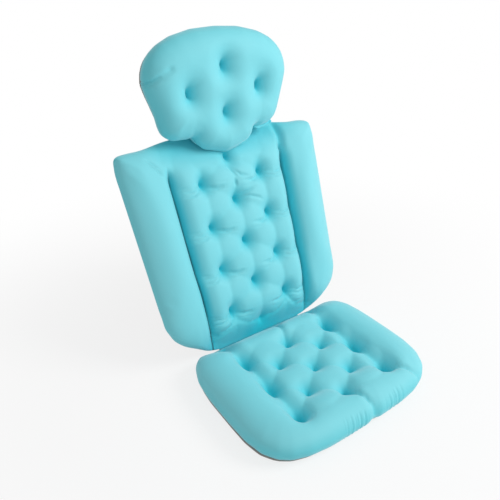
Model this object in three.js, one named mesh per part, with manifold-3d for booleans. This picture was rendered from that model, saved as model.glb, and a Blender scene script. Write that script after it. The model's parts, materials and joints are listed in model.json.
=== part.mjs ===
// Full-body bath pillow: a seat pad, a reclined back pad with two side bolsters, and a head pad.
// Millimetres, +Z up. The origin is on the tub floor, under the middle of the seat.
// The seat points along -Y and the back rises towards +Y.
import * as THREE from 'three';
import { mergeVertices } from 'three/addons/utils/BufferGeometryUtils.js';
import Module from 'manifold-3d';

const wasm = await Module();
wasm.setup();

// Cloth, panels and clearances
const clearance = 0.3;
const coverThickness = 2;
const panelThickness = 6;
const panelLip = 3;
const hemDrawIn = 17;
const seamFloor = 11;
const creaseDepth = 7;
const creaseWidth = 24;

// Seat pad
const seatWidth = 462;
const seatDepth = 364;
const seatThickness = 75;
const seatSideHeight = 36;
const seatCornerPower = 4;
const seatRearOverrun = 8;
const seatRollWidth = 56;
const seatFieldSag = 10;
const seatTuftRows = 5;
const seatTuftPitchX = 60;
const seatTuftPitchY = 47.3;
const seatTuftFirstRow = 107.9;
const seatTuftFloor = 24;
const seatTuftRadius = 52;

// Fold line between seat and back
const hingeHeight = 12;
const hingeRadius = 5;
const hingeLength = 268;
const foldEdgeHeight = 12;
const foldSlopeWidth = 75;
const foldEndFade = 75;
const slopeFade = [0.6, 1.4];

// Back pad
const backRecline = 67.1;
const backLength = 495;
const backThickness = 53;
const backFootWidth = 284;
const backWidthLow = 490;
const backWidthTop = 532;
const bolsterFootRise = 60;
const bolsterTopDrop = 14;
const bolsterFootRound = 48;
const bolsterTopRound = 16;
const backSideHeight = 24;
const bolsterRollWidth = 50;
const seamSpreadLow = 280;
const seamSpreadTop = 312;
const seamTopShort = 62;
const seamFade = 80;
const shoulderFade = 45;
const channelWidth = 46;
const backTuftRows = 9;
const backTuftPitchX = 79.7;
const backTuftPitchY = 50.1;
const backTuftFirstRow = 32;
const backTuftFloor = 16;
const backTuftRadius = 60;

// Fold line between back and head
const neckHeight = 5;
const neckRadius = 4;
const neckLength = 230;
const neckEdgeHeight = 9;
const neckSlopeWidth = 150;

// Head pad
const headTilt = 18;
const headWidth = 352;
const headHeight = 222;
const headWaist = 116;
const headCrownPower = 2.4;
const headThickness = 92;
const headSideHeight = 44;
const headRollWidth = 62;
const headFootWidth = 276;
const headFootRound = 38;
const headLobeDrop = 42;
const headLobeWidth = 116;
const headNotchSpread = 166;
const headTuftPitchX = 87.6;
const headTuftPitchY = 48.3;
const headTuftHeight = 96;
const headTuftFloor = 38;
const headTuftRadius = 66;

// Tuft ties
const tieLength = 10;
const tieWidth = 2.6;

// Suction cups
const cupRadius = 25;
const cupDepth = 11;
const cupWall = 1.8;
const cupBendRadius = 15;
const cupNeckRadius = 4;
const cupCollarRadius = 9;
const cupCollarHeight = 4;
const cupHeadRadius = 9;
const cupHeadHeight = 3;
const backCupSpread = 180;
const backCupFootRise = 114;
const backCupTopDrop = 112;
const headCupInset = 81;
const headCupHeight = 120;

// Fineness: steps between tufts, shares of the way from the tufted field to the edge, and round pieces
const seatSteps = 2;
const backSteps = 2;
const headSteps = 4;
const ringShares = [0.2, 0.45, 0.7, 0.9, 1];
const outlineSteps = 96;
const roundSteps = 12;
const holeSteps = 8;
const tieSteps = 2;
const cupSteps = 14;
const cupCurveSteps = 3;
const rollCapSteps = 3;
const weldDistance = 1e-4;

const lerp = THREE.MathUtils.lerp;
const smoothstep = THREE.MathUtils.smoothstep;
const degToRad = THREE.MathUtils.degToRad;
const hemHeight = panelThickness + clearance;

const jersey = new THREE.MeshStandardMaterial({ color: 0x6fd0de, roughness: 0.85, metalness: 0 });
const wadding = new THREE.MeshStandardMaterial({ color: 0xf2f2ee, roughness: 1, metalness: 0 });
const mesh = new THREE.MeshStandardMaterial({ color: 0x9a938f, roughness: 0.9, metalness: 0 });
const grip = new THREE.MeshStandardMaterial({ color: 0x8d8682, roughness: 0.95, metalness: 0 });
const thread = new THREE.MeshStandardMaterial({ color: 0x58b9c9, roughness: 0.8, metalness: 0 });
const silicone = new THREE.MeshStandardMaterial({ color: 0xdfe6e8, roughness: 0.25, metalness: 0 });

// Plane geometry of the outlines

function crossing(outline, centre, toward) {
  const way = toward.clone().sub(centre);
  let reach = 0;
  outline.forEach((start, index) => {
    const end = outline[(index + 1) % outline.length];
    const edge = end.clone().sub(start);
    const offset = start.clone().sub(centre);
    const turn = way.cross(edge);
    const along = offset.cross(edge) / turn;
    const across = offset.cross(way) / turn;
    if (along > 0 && across >= 0 && across <= 1) reach = Math.max(reach, along);
  });
  return centre.clone().addScaledVector(way, reach);
}

function distanceToSegment(point, start, end) {
  const edge = end.clone().sub(start);
  const share = point.clone().sub(start).dot(edge) / edge.lengthSq();
  return point.distanceTo(start.clone().addScaledVector(edge, THREE.MathUtils.clamp(share, 0, 1)));
}

function distanceToOutline(outline, point) {
  const spans = outline.map((start, index) => {
    const end = outline[(index + 1) % outline.length];
    return distanceToSegment(point, start, end);
  });
  return Math.min(...spans);
}

// Mirrors a right-hand half outline, listed from the foot upwards, into a closed loop.
function mirrored(rightHalf) {
  const leftHalf = rightHalf.map((point) => new THREE.Vector2(-point.x, point.y)).reverse();
  return [...rightHalf, ...leftHalf.filter((point) => point.x < -weldDistance)];
}

// Draws a line to a corner and rounds it, leaving towards the next corner.
function roundCorner(path, corner, next, reach) {
  const before = path.currentPoint.clone().sub(corner).setLength(reach).add(corner);
  const after = next.clone().sub(corner).setLength(reach).add(corner);
  path.lineTo(before.x, before.y);
  path.quadraticCurveTo(corner.x, corner.y, after.x, after.y);
}

// A quarter of a rounded square, from the x axis to the y axis.
function crown(width, height, power) {
  return Array.from({ length: roundSteps + 1 }, (_, step) => {
    const angle = step / roundSteps * Math.PI / 2;
    const x = Math.cos(angle) ** (2 / power);
    const y = Math.sin(angle) ** (2 / power);
    return new THREE.Vector2(x * width, y * height);
  });
}

// The hem under a point of the widest line: drawn in on a free edge, close to it on a fold edge.
function drawnIn(point, centre, foldShare) {
  const inward = centre.clone().sub(point).normalize();
  return point.clone().addScaledVector(inward, lerp(hemDrawIn, panelLip, foldShare));
}

// Profiles

// How far a sewn point or line pulls the cloth down, from 1 on the stitch to 0 at the reach.
function pull(distance, reach) {
  const share = Math.min(distance / reach, 1);
  return 1 - Math.sqrt(1 - (1 - share) ** 2);
}

// Rise from an edge: a round roll on a free edge, a plain slope on a fold edge.
function rise(distance, free, fold, foldShare) {
  const share = Math.min(distance / lerp(free, fold, foldShare), 1);
  const round = Math.sqrt(1 - (1 - share) ** 2);
  const slope = Math.sin(share * Math.PI / 2);
  return lerp(round, slope, foldShare);
}

// Share of a fold's slope that is left at a distance from the fold line.
function slopeShare(distance, width) {
  const [start, end] = slopeFade;
  return 1 - smoothstep(distance, width * start, width * end);
}

// Height of a pad's cloth at a plan point: the edge roll and the field inside it, then what is sewn down.
function clothHeight(pad, point) {
  const foldShare = pad.foldShare(point);
  const fold = pad.foldEdge(point);
  const side = lerp(pad.sideHeight, fold.height, foldShare);
  const inside = distanceToOutline(pad.outline, point);
  const edge = rise(inside, pad.rollWidth, fold.width, foldShare);
  const sag = pad.fieldSag * smoothstep(inside, pad.rollWidth, 2 * pad.rollWidth);
  let height = lerp(side, pad.thickness - sag, edge);
  const stitched = pad.channel(point);
  height = lerp(height, Math.min(height, seamFloor), stitched);
  const free = pad.tufts.map((tuft) => 1 - pull(tuft.distanceTo(point), pad.tuftRadius));
  const floor = Math.min(height, pad.tuftFloor);
  height = lerp(floor, height, free.reduce((product, share) => product * share, 1));
  const creases = pad.creases.map(([start, end]) => distanceToSegment(point, start, end));
  const closeness = 1 - Math.min(...creases, creaseWidth) / creaseWidth;
  return Math.max(height - creaseDepth * closeness ** 2 * edge, floor);
}

// Skin of a pad: a grid over the tufted field, then rings out to the widest line and in to the hem.

function padSkin(pad) {
  const { columns, rows } = pad;
  const points = [];
  const faces = [];
  const quad = (a, b, c, d, rising) => {
    if (rising) faces.push([a, b, c], [a, c, d]);
    else faces.push([a, b, d], [b, c, d]);
  };
  const at = (i, j) => j * (columns + 1) + i;
  for (let j = 0; j <= rows; j += 1) {
    for (let i = 0; i <= columns; i += 1) {
      const plan = pad.place(i, j);
      points.push(new THREE.Vector3(plan.x, plan.y, clothHeight(pad, plan)));
    }
  }
  for (let j = 0; j < rows; j += 1) {
    for (let i = 0; i < columns; i += 1) {
      const cell = Math.floor(i / pad.steps) + Math.floor(j / pad.steps);
      quad(at(i, j), at(i + 1, j), at(i + 1, j + 1), at(i, j + 1), cell % 2 === pad.parity);
    }
  }
  const border = [];
  for (let i = 0; i < columns; i += 1) border.push(at(i, 0));
  for (let j = 0; j < rows; j += 1) border.push(at(columns, j));
  for (let i = columns; i > 0; i -= 1) border.push(at(i, rows));
  for (let j = rows; j > 0; j -= 1) border.push(at(0, j));
  const addRing = (previous, ring) => {
    const next = ring.map((point) => points.push(point) - 1);
    previous.forEach((corner, index) => {
      const follow = (index + 1) % previous.length;
      quad(corner, next[index], next[follow], previous[follow], index % 2 === 0);
    });
    return next;
  };
  const inner = border.map((index) => new THREE.Vector2(points[index].x, points[index].y));
  const widest = inner.map((point) => crossing(pad.outline, pad.centre, point));
  const hem = widest.map((point) => pad.hem(point));
  let ring = border;
  ringShares.forEach((share) => {
    ring = addRing(ring, inner.map((start, index) => {
      const plan = start.clone().lerp(widest[index], share);
      return new THREE.Vector3(plan.x, plan.y, clothHeight(pad, plan));
    }));
  });
  const edge = ring.map((index) => points[index]);
  const underside = (turn) => hem.map((foot, index) => {
    const folded = pad.tuckShare(widest[index]);
    const inward = lerp(1 - Math.cos(turn), turn / (Math.PI / 2), folded);
    const down = lerp(Math.sin(turn), turn / (Math.PI / 2), folded);
    const plan = widest[index].clone().lerp(foot, inward);
    return new THREE.Vector3(plan.x, plan.y, lerp(edge[index].z, hemHeight, down));
  });
  ring = addRing(ring, underside(Math.PI / 4));
  ring = addRing(ring, underside(Math.PI / 2));
  return { points, faces, hem: ring };
}

// The skin moved inwards by a depth. Hem points stay level, so that the hem lies flat on its panel.
function sunkPoints(skin, depth) {
  const normals = skin.points.map(() => new THREE.Vector3());
  skin.faces.forEach(([a, b, c]) => {
    const sideOne = skin.points[b].clone().sub(skin.points[a]);
    const sideTwo = skin.points[c].clone().sub(skin.points[a]);
    const normal = sideOne.cross(sideTwo).normalize();
    [a, b, c].forEach((corner) => normals[corner].add(normal));
  });
  skin.hem.forEach((index) => normals[index].setZ(0));
  return skin.points.map((point, index) => {
    const normal = normals[index].normalize();
    return point.clone().addScaledVector(normal, -depth);
  });
}

function meshGeometry(points, faces) {
  const geometry = new THREE.BufferGeometry();
  const places = points.flatMap((point) => point.toArray());
  geometry.setAttribute('position', new THREE.Float32BufferAttribute(places, 3));
  geometry.setIndex(faces.flat());
  return geometry;
}

function coverGeometry(skin) {
  const count = skin.points.length;
  const points = [...skin.points, ...sunkPoints(skin, coverThickness)];
  const lining = skin.faces.map(([a, b, c]) => [a + count, c + count, b + count]);
  const hem = skin.hem.flatMap((corner, index) => {
    const next = skin.hem[(index + 1) % skin.hem.length];
    return [[corner, corner + count, next + count], [corner, next + count, next]];
  });
  return meshGeometry(points, [...skin.faces, ...lining, ...hem]);
}

function fillingGeometry(skin, centre) {
  const points = sunkPoints(skin, coverThickness + clearance);
  const middle = points.push(new THREE.Vector3(centre.x, centre.y, hemHeight)) - 1;
  const floor = skin.hem.map((corner, index) => [corner, middle, skin.hem[(index + 1) % skin.hem.length]]);
  return meshGeometry(points, [...skin.faces, ...floor]);
}

// Joining and cutting closed meshes

function solidOf(geometry) {
  const bare = geometry.clone();
  bare.deleteAttribute('normal');
  bare.deleteAttribute('uv');
  const merged = mergeVertices(bare, weldDistance);
  return new wasm.Manifold(new wasm.Mesh({
    numProp: 3,
    vertProperties: new Float32Array(merged.attributes.position.array),
    triVerts: new Uint32Array(merged.index.array),
  }));
}

function geometryOf(solid) {
  const shape = solid.getMesh();
  const geometry = new THREE.BufferGeometry();
  geometry.setAttribute('position', new THREE.Float32BufferAttribute(shape.vertProperties, 3));
  geometry.setIndex(Array.from(shape.triVerts));
  return geometry;
}

function cut(geometry, tools) {
  const left = tools.reduce((solid, tool) => solid.subtract(solidOf(tool)), solidOf(geometry));
  return geometryOf(left);
}

function kept(geometry, tool) {
  return geometryOf(solidOf(geometry).intersect(solidOf(tool)));
}

function prism(outline, low, high, holes = []) {
  const shape = new THREE.Shape(outline);
  shape.holes = holes;
  const geometry = new THREE.ExtrudeGeometry(shape, {
    depth: high - low,
    bevelEnabled: false,
    curveSegments: holeSteps,
  });
  return geometry.translate(0, 0, low);
}

// Small pieces that repeat

// A tie is a flat bundle of thread with round edges, from the panel up to the cover's lowest point.
function tieGeometry(pad, place) {
  const straight = (tieLength - tieWidth) / 2;
  const shape = new THREE.Shape();
  shape.absarc(place.x, place.y + straight, tieWidth / 2, 0, Math.PI);
  shape.absarc(place.x, place.y - straight, tieWidth / 2, Math.PI, 2 * Math.PI);
  return prism(shape.getPoints(tieSteps), hemHeight, pad.tuftFloor - coverThickness - clearance);
}

// The slit that the needle leaves in the filling for a tie.
function tieSlit(pad, place) {
  const x = tieWidth / 2 + clearance;
  const y = tieLength / 2 + clearance;
  const corners = [[-x, -y], [x, -y], [x, y], [-x, y]];
  return prism(corners.map((corner) => new THREE.Vector2(...corner).add(place)), 0, pad.thickness);
}

// A cup moulded with its stem: the head lies on the panel, the collar under it, the dish opens rearwards.
function cupGeometry() {
  const collarTop = -clearance;
  const collarFoot = collarTop - cupCollarHeight;
  const lip = collarFoot - cupDepth;
  const headTop = hemHeight + cupHeadHeight;
  const rim = cupRadius - cupWall;
  const profile = new THREE.Path();
  profile.moveTo(0, collarFoot - cupWall);
  profile.quadraticCurveTo(cupBendRadius, collarFoot - cupWall, rim, lip);
  profile.lineTo(cupRadius, lip);
  profile.quadraticCurveTo(cupBendRadius + cupWall, collarFoot, cupCollarRadius, collarFoot);
  profile.lineTo(cupCollarRadius, collarTop);
  profile.lineTo(cupNeckRadius, collarTop);
  profile.lineTo(cupNeckRadius, hemHeight);
  profile.lineTo(cupHeadRadius, hemHeight);
  profile.lineTo(cupHeadRadius, headTop - clearance);
  profile.lineTo(0, headTop);
  const lathe = new THREE.LatheGeometry(profile.getPoints(cupCurveSteps), cupSteps);
  return lathe.rotateX(Math.PI / 2);
}

function cupHole(place) {
  const hole = new THREE.Path();
  hole.absarc(place.x, place.y, cupNeckRadius + clearance, 0, 2 * Math.PI, true);
  return hole;
}

function cupPocket(place) {
  const pocket = new THREE.Shape();
  pocket.absarc(place.x, place.y, cupHeadRadius + clearance, 0, 2 * Math.PI);
  return prism(pocket.getPoints(holeSteps), 0, hemHeight + cupHeadHeight + clearance);
}

function rollGeometry(radius, length) {
  const roll = new THREE.CapsuleGeometry(radius, length - 2 * radius, rollCapSteps, roundSteps);
  return roll.rotateZ(Math.PI / 2);
}

// Pads

function seatPad() {
  const rear = -(hingeRadius + clearance);
  const front = rear - seatDepth;
  const centre = new THREE.Vector2(0, (rear + front) / 2);
  const halfDepth = seatDepth / 2;
  const outline = Array.from({ length: outlineSteps }, (_, step) => {
    const angle = step / outlineSteps * 2 * Math.PI;
    const x = Math.cos(angle);
    const y = Math.sin(angle);
    const reach = halfDepth + (y > 0 ? seatRearOverrun : 0);
    const spread = Math.abs(x) ** seatCornerPower + Math.abs(y) ** seatCornerPower;
    const round = spread ** (-1 / seatCornerPower);
    return new THREE.Vector2(x * round * seatWidth / 2, Math.min(centre.y + y * round * reach, rear));
  });
  const firstRow = -seatTuftFirstRow;
  const span = (seatTuftRows - 1) / 2;
  const tuft = (i, j) => new THREE.Vector2(i * seatTuftPitchX, firstRow - (j + span) * seatTuftPitchY);
  const lattice = Array.from({ length: seatTuftRows }, (_, row) => row - span);
  const sewn = lattice.flatMap((j) => lattice.filter((i) => (i + j) % 2 === 0).map((i) => [i, j]));
  const between = sewn.flatMap(([i, j]) => [[i + 1, j + 1], [i - 1, j + 1]]
    .filter(([k, l]) => Math.abs(k) <= span && l <= span)
    .map(([k, l]) => [tuft(i, j), tuft(k, l)]));
  const outward = [-span, span].flatMap((j) => [-span, 0, span].map((i) => {
    const place = tuft(i, j);
    return [place, crossing(outline, centre, place)];
  }));
  const foldShare = (point) => {
    const across = 1 - smoothstep(Math.abs(point.x), hingeLength / 2, hingeLength / 2 + foldEndFade);
    return across * slopeShare(rear - point.y, foldSlopeWidth);
  };
  return {
    outline,
    centre,
    rear,
    thickness: seatThickness,
    sideHeight: seatSideHeight,
    rollWidth: seatRollWidth,
    fieldSag: seatFieldSag,
    tufts: sewn.map(([i, j]) => tuft(i, j)),
    tuftFloor: seatTuftFloor,
    tuftRadius: seatTuftRadius,
    creases: [...between, ...outward],
    steps: seatSteps,
    columns: 2 * span * seatSteps,
    rows: 2 * span * seatSteps,
    parity: 0,
    place: (i, j) => tuft(i / seatSteps - span, span - j / seatSteps),
    channel: () => 0,
    foldEdge: () => ({ height: foldEdgeHeight, width: foldSlopeWidth }),
    foldShare,
    tuckShare: foldShare,
    hem: (point) => drawnIn(point, centre, foldShare(point)),
  };
}

function backPad() {
  const foot = hingeHeight * Math.sin(degToRad(backRecline)) + hingeRadius + clearance;
  const top = foot + backLength;
  const bolsterFoot = new THREE.Vector2(backWidthLow / 2, foot + bolsterFootRise);
  const bolsterTop = new THREE.Vector2(backWidthTop / 2, top - bolsterTopDrop);
  const neckEnd = new THREE.Vector2(neckLength / 2, top);
  const side = new THREE.Path();
  side.moveTo(backFootWidth / 2, foot);
  roundCorner(side, bolsterFoot, bolsterTop, bolsterFootRound);
  roundCorner(side, bolsterTop, neckEnd, bolsterTopRound);
  side.lineTo(neckEnd.x, neckEnd.y);
  const outline = mirrored(side.getPoints(roundSteps));
  const centre = new THREE.Vector2(0, (foot + top) / 2);
  const firstRow = foot + backTuftFirstRow;
  const seam = (y) => lerp(seamSpreadLow, seamSpreadTop, (y - foot) / (top - foot)) / 2;
  const tuft = (i, j) => {
    const y = firstRow + j * backTuftPitchY;
    const inside = Math.min(Math.abs(i), 1) * backTuftPitchX;
    const outside = Math.max(Math.abs(i) - 1, 0) * (seam(y) - backTuftPitchX);
    return new THREE.Vector2(Math.sign(i) * (inside + outside), y);
  };
  const last = backTuftRows - 1;
  const levels = Array.from({ length: backTuftRows }, (_, row) => row);
  const sewn = levels.flatMap((j) => (j % 2 === 0 ? [[0, j]] : [[-1, j], [1, j]]));
  const between = sewn.flatMap(([i, j]) => [[i + 1, j + 1], [i - 1, j + 1]]
    .filter(([k, l]) => Math.abs(k) <= 1 && l <= last)
    .map(([k, l]) => [tuft(i, j), tuft(k, l)]));
  const nearFoot = (point) => point.y < centre.y;
  const foldShare = (point) => {
    const halfFold = (nearFoot(point) ? hingeLength : neckLength) / 2;
    const fade = nearFoot(point) ? foldEndFade : shoulderFade;
    const reach = nearFoot(point) ? foldSlopeWidth : neckSlopeWidth;
    const across = 1 - smoothstep(Math.abs(point.x), halfFold, halfFold + fade);
    const inside = nearFoot(point) ? point.y - foot : top - point.y;
    return across * slopeShare(inside, reach);
  };
  return {
    outline,
    centre,
    seam,
    foot,
    top,
    thickness: backThickness,
    sideHeight: backSideHeight,
    rollWidth: bolsterRollWidth,
    fieldSag: 0,
    tufts: sewn.map(([i, j]) => tuft(i, j)),
    tuftFloor: backTuftFloor,
    tuftRadius: backTuftRadius,
    creases: between,
    steps: backSteps,
    columns: 4 * backSteps,
    rows: last * backSteps,
    parity: 0,
    place: (i, j) => tuft(i / backSteps - 2, j / backSteps),
    channel: (point) => {
      const across = Math.abs(Math.abs(point.x) - seam(point.y));
      const end = top - seamTopShort;
      return pull(across, channelWidth) * (1 - smoothstep(point.y, end - seamFade, end));
    },
    foldEdge: (point) => (nearFoot(point)
      ? { height: foldEdgeHeight, width: foldSlopeWidth }
      : { height: neckEdgeHeight, width: neckSlopeWidth }),
    foldShare,
    tuckShare: foldShare,
    hem: (point) => drawnIn(point, centre, foldShare(point)),
  };
}

function headPad() {
  const foot = neckRadius + clearance;
  const half = headWidth / 2;
  const notch = headNotchSpread / 2;
  const footCorner = new THREE.Vector2(headFootWidth / 2, 0);
  const waist = new THREE.Vector2(half, headWaist);
  const lower = new THREE.Path();
  lower.moveTo(0, -headLobeDrop);
  lower.quadraticCurveTo(headLobeWidth / 2, -headLobeDrop, notch, 0);
  roundCorner(lower, footCorner, waist, headFootRound);
  const upper = crown(half, headHeight - headWaist, headCrownPower);
  upper.forEach((point) => point.setY(point.y + headWaist));
  const outline = mirrored([...lower.getPoints(roundSteps), ...upper]);
  const centre = new THREE.Vector2(0, headTuftHeight);
  const tuft = (i, j) => new THREE.Vector2(i * headTuftPitchX, headTuftHeight + j * headTuftPitchY);
  const sewn = [[0, -1], [-1, 0], [1, 0], [0, 1]];
  const between = [[0, 1], [1, 3], [3, 2], [2, 0]].map(([a, b]) => [tuft(...sewn[a]), tuft(...sewn[b])]);
  return {
    outline,
    centre,
    foot,
    thickness: headThickness,
    sideHeight: headSideHeight,
    rollWidth: headRollWidth,
    fieldSag: 0,
    tufts: sewn.map(([i, j]) => tuft(i, j)),
    tuftFloor: headTuftFloor,
    tuftRadius: headTuftRadius,
    creases: between,
    steps: headSteps,
    columns: 2 * headSteps,
    rows: 2 * headSteps,
    parity: 1,
    place: (i, j) => tuft(i / headSteps - 1, j / headSteps - 1),
    channel: () => 0,
    foldEdge: () => ({ height: headSideHeight, width: headRollWidth }),
    foldShare: () => 0,
    tuckShare: (point) => 1 - smoothstep(point.y, foot, foot + headSideHeight),
    hem: (point) => {
      const hem = drawnIn(point, centre, 0);
      hem.y = Math.max(hem.y, foot + panelLip);
      return hem;
    },
  };
}

// Assembly

function addPiece(group, name, geometry, material) {
  const piece = new THREE.Mesh(geometry, material);
  piece.name = name;
  group.add(piece);
  return piece;
}

// The flat panel under a pad reaches past the hem by the lip, but never past a fold line.
function panelGeometry(pad, skin, cups, limit) {
  const outline = skin.hem.map((index) => {
    const hem = new THREE.Vector2(skin.points[index].x, skin.points[index].y);
    const outward = hem.clone().sub(pad.centre).normalize();
    const lip = hem.addScaledVector(outward, panelLip);
    lip.y = limit(lip.y);
    return lip;
  });
  return prism(outline, 0, panelThickness, cups.map(cupHole));
}

function numbered(prefix, index, digits) {
  return `${prefix}_${String(index + 1).padStart(digits, '0')}`;
}

function addTies(group, prefix, pad, digits) {
  pad.tufts.forEach((place, index) => {
    addPiece(group, numbered(prefix, index, digits), tieGeometry(pad, place), thread);
  });
}

function addCups(group, prefix, places) {
  places.forEach((place, index) => {
    const cup = addPiece(group, numbered(prefix, index, 1), cupGeometry(), silicone);
    cup.position.set(place.x, place.y, 0);
  });
}

function fillingTools(pad, cups) {
  return [...pad.tufts.map((place) => tieSlit(pad, place)), ...cups.map(cupPocket)];
}

const seat = seatPad();
const seatSkin = padSkin(seat);
const pillow = new THREE.Group();
pillow.position.y = -seat.centre.y;

const seatGroup = new THREE.Group();
pillow.add(seatGroup);
addPiece(seatGroup, 'seat_cover', coverGeometry(seatSkin), jersey);
const seatWadding = cut(fillingGeometry(seatSkin, seat.centre), fillingTools(seat, []));
addPiece(seatGroup, 'seat_filling', seatWadding, wadding);
const seatLimit = (y) => Math.min(y, seat.rear);
addPiece(seatGroup, 'seat_grip_base', panelGeometry(seat, seatSkin, [], seatLimit), grip);
addTies(seatGroup, 'seat_tuft_tie', seat, 2);
const hingeRoll = addPiece(seatGroup, 'hinge_roll', rollGeometry(hingeRadius, hingeLength), jersey);
hingeRoll.position.z = hingeHeight;

const back = backPad();
const backSkin = padSkin(back);
const backGroup = new THREE.Group();
backGroup.rotation.x = degToRad(backRecline);
pillow.add(backGroup);
const backCupLevels = [back.foot + backCupFootRise, back.top - backCupTopDrop];
const backCups = backCupLevels.flatMap((y) => [-1, 1].map((side) => (
  new THREE.Vector2(side * backCupSpread / 2, y))));
addPiece(backGroup, 'back_cover', coverGeometry(backSkin), jersey);
const backWadding = cut(fillingGeometry(backSkin, back.centre), fillingTools(back, backCups));
const chamber = (start, end) => {
  const low = back.foot - backWidthTop;
  const high = back.top + backWidthTop;
  const outline = [start(low), end(low), end(high), start(high)];
  const levels = [low, low, high, high];
  const corners = outline.map((x, index) => new THREE.Vector2(x, levels[index]));
  return kept(backWadding, prism(corners, -backThickness, 2 * backThickness));
};
const seamRight = (y) => back.seam(y) - clearance;
const seamLeft = (y) => -seamRight(y);
const outerRight = (y) => back.seam(y) + clearance;
const outerLeft = (y) => -outerRight(y);
addPiece(backGroup, 'back_filling', chamber(seamLeft, seamRight), wadding);
addPiece(backGroup, 'left_bolster_filling', chamber(() => -backWidthTop, outerLeft), wadding);
addPiece(backGroup, 'right_bolster_filling', chamber(outerRight, () => backWidthTop), wadding);
const backLimit = (y) => THREE.MathUtils.clamp(y, back.foot, back.top);
addPiece(backGroup, 'back_mesh', panelGeometry(back, backSkin, backCups, backLimit), mesh);
addTies(backGroup, 'back_tuft_tie', back, 2);
addCups(backGroup, 'back_suction_cup', backCups);
const neckLine = back.top + clearance + neckRadius;
const neckRoll = addPiece(backGroup, 'neck_roll', rollGeometry(neckRadius, neckLength), jersey);
neckRoll.position.set(0, neckLine, neckHeight);

const head = headPad();
const headSkin = padSkin(head);
const neckGroup = new THREE.Group();
neckGroup.position.set(0, neckLine, neckHeight);
neckGroup.rotation.x = degToRad(headTilt);
backGroup.add(neckGroup);
const headGroup = new THREE.Group();
headGroup.position.z = -neckHeight;
neckGroup.add(headGroup);
const headCupReach = headWidth / 2 - headCupInset;
const headCups = [-1, 1].map((side) => new THREE.Vector2(side * headCupReach, headCupHeight));
addPiece(headGroup, 'head_cover', coverGeometry(headSkin), jersey);
const headWadding = cut(fillingGeometry(headSkin, head.centre), fillingTools(head, headCups));
addPiece(headGroup, 'head_filling', headWadding, wadding);
const headLimit = (y) => Math.max(y, head.foot);
addPiece(headGroup, 'head_mesh', panelGeometry(head, headSkin, headCups, headLimit), mesh);
addTies(headGroup, 'head_tuft_tie', head, 1);
addCups(headGroup, 'head_suction_cup', headCups);

export default pillow;
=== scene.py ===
import json
import math

import bmesh
import bpy
import numpy as np
from mathutils import Matrix, Vector


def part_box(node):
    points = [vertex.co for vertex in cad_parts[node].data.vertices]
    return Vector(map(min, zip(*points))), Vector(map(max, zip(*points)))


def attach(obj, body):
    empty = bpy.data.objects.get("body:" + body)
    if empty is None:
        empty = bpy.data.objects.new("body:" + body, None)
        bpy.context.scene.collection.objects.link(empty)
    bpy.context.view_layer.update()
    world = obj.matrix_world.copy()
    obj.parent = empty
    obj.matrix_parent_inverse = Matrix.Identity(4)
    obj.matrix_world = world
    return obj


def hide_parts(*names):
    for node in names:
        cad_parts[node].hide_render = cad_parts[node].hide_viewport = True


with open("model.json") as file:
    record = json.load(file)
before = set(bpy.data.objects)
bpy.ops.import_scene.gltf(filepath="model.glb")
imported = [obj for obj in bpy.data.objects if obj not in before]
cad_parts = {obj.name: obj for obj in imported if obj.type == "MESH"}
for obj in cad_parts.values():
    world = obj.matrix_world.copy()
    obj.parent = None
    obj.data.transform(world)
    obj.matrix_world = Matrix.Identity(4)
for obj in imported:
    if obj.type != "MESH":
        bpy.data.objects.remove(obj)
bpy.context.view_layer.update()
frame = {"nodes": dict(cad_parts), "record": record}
mountAxis = {mount["name"]: Vector(mount["axis"]) for mount in frame["record"]["mounts"]}
print("frame loaded:", len(frame["nodes"]), "nodes")


# Shader maths on sockets

class Wire:
    def __init__(self, finish, socket):
        self.finish = finish
        self.socket = socket

    def sum(self, operation, first, second):
        return self.finish.add("Math", {"operation": operation}, {0: first, 1: second})

    def __add__(self, other):
        return self.sum("ADD", self, other)

    def __radd__(self, other):
        return self.sum("ADD", other, self)

    def __sub__(self, other):
        return self.sum("SUBTRACT", self, other)

    def __rsub__(self, other):
        return self.sum("SUBTRACT", other, self)

    def __mul__(self, other):
        return self.sum("MULTIPLY", self, other)

    def __rmul__(self, other):
        return self.sum("MULTIPLY", other, self)


class Finish:
    def __init__(self, tree):
        self.tree = tree
        self.tree.nodes.clear()

    # one node: its settings first, then the values or links of its sockets
    def add(self, kind, settings=None, sockets=None, output=0):
        node = self.tree.nodes.new("ShaderNode" + kind)
        for name, value in (settings or {}).items():
            setattr(node, name, value)
        for key, value in (sockets or {}).items():
            if isinstance(value, Wire):
                self.tree.links.new(value.socket, node.inputs[key])
            else:
                node.inputs[key].default_value = value
        return Wire(self, node.outputs[output] if node.outputs else None)

    def blendColours(self, share, first, second):
        return self.add("Mix", {"data_type": "RGBA"}, {0: share, 6: first, 7: second}, output=2)

    def noise(self, place, scale, detail):
        return self.add("TexNoise", None, {"Vector": place, "Scale": scale, "Detail": detail})

    def surface(self, sockets):
        shader = self.add("BsdfPrincipled", None, sockets)
        self.add("OutputMaterial", None, {"Surface": shader})


def newFinish(name):
    material = bpy.data.materials.new(name)
    material.use_nodes = True
    return material, Finish(material.node_tree)


def paint(red, green, blue):
    linear = [(c / 12.92 if c <= 0.04045 else ((c + 0.055) / 1.055) ** 2.4) for c in (red, green, blue)]
    return (*linear, 1)


# Finishes

jersey = {
    "light": paint(0.52, 0.866, 0.908),
    "soft": paint(0.465, 0.85, 0.893),
    # painted shade: the fuller, darker colour the cloth is given in its pits, seams and shaded flanks
    "hollow": paint(0.09, 0.80, 0.86),
    # painted shadow in the slits of the stitched seams
    "gap": paint(0.10, 0.34, 0.39),
    "cloudScale": 9,
    "fuzzScale": 700,
    "fuzzShare": 0.3,
    "knitPitch": 0.0013,
    "knitLean": 2,
    "knitDepth": 0.00012,
    "knitStrength": 0.35,
    "roughness": 0.60,
    "roughSpread": 0.2,
    "specular": 0.6,
    "sheen": 0.4,
    "sheenRoughness": 0.45,
}


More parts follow.
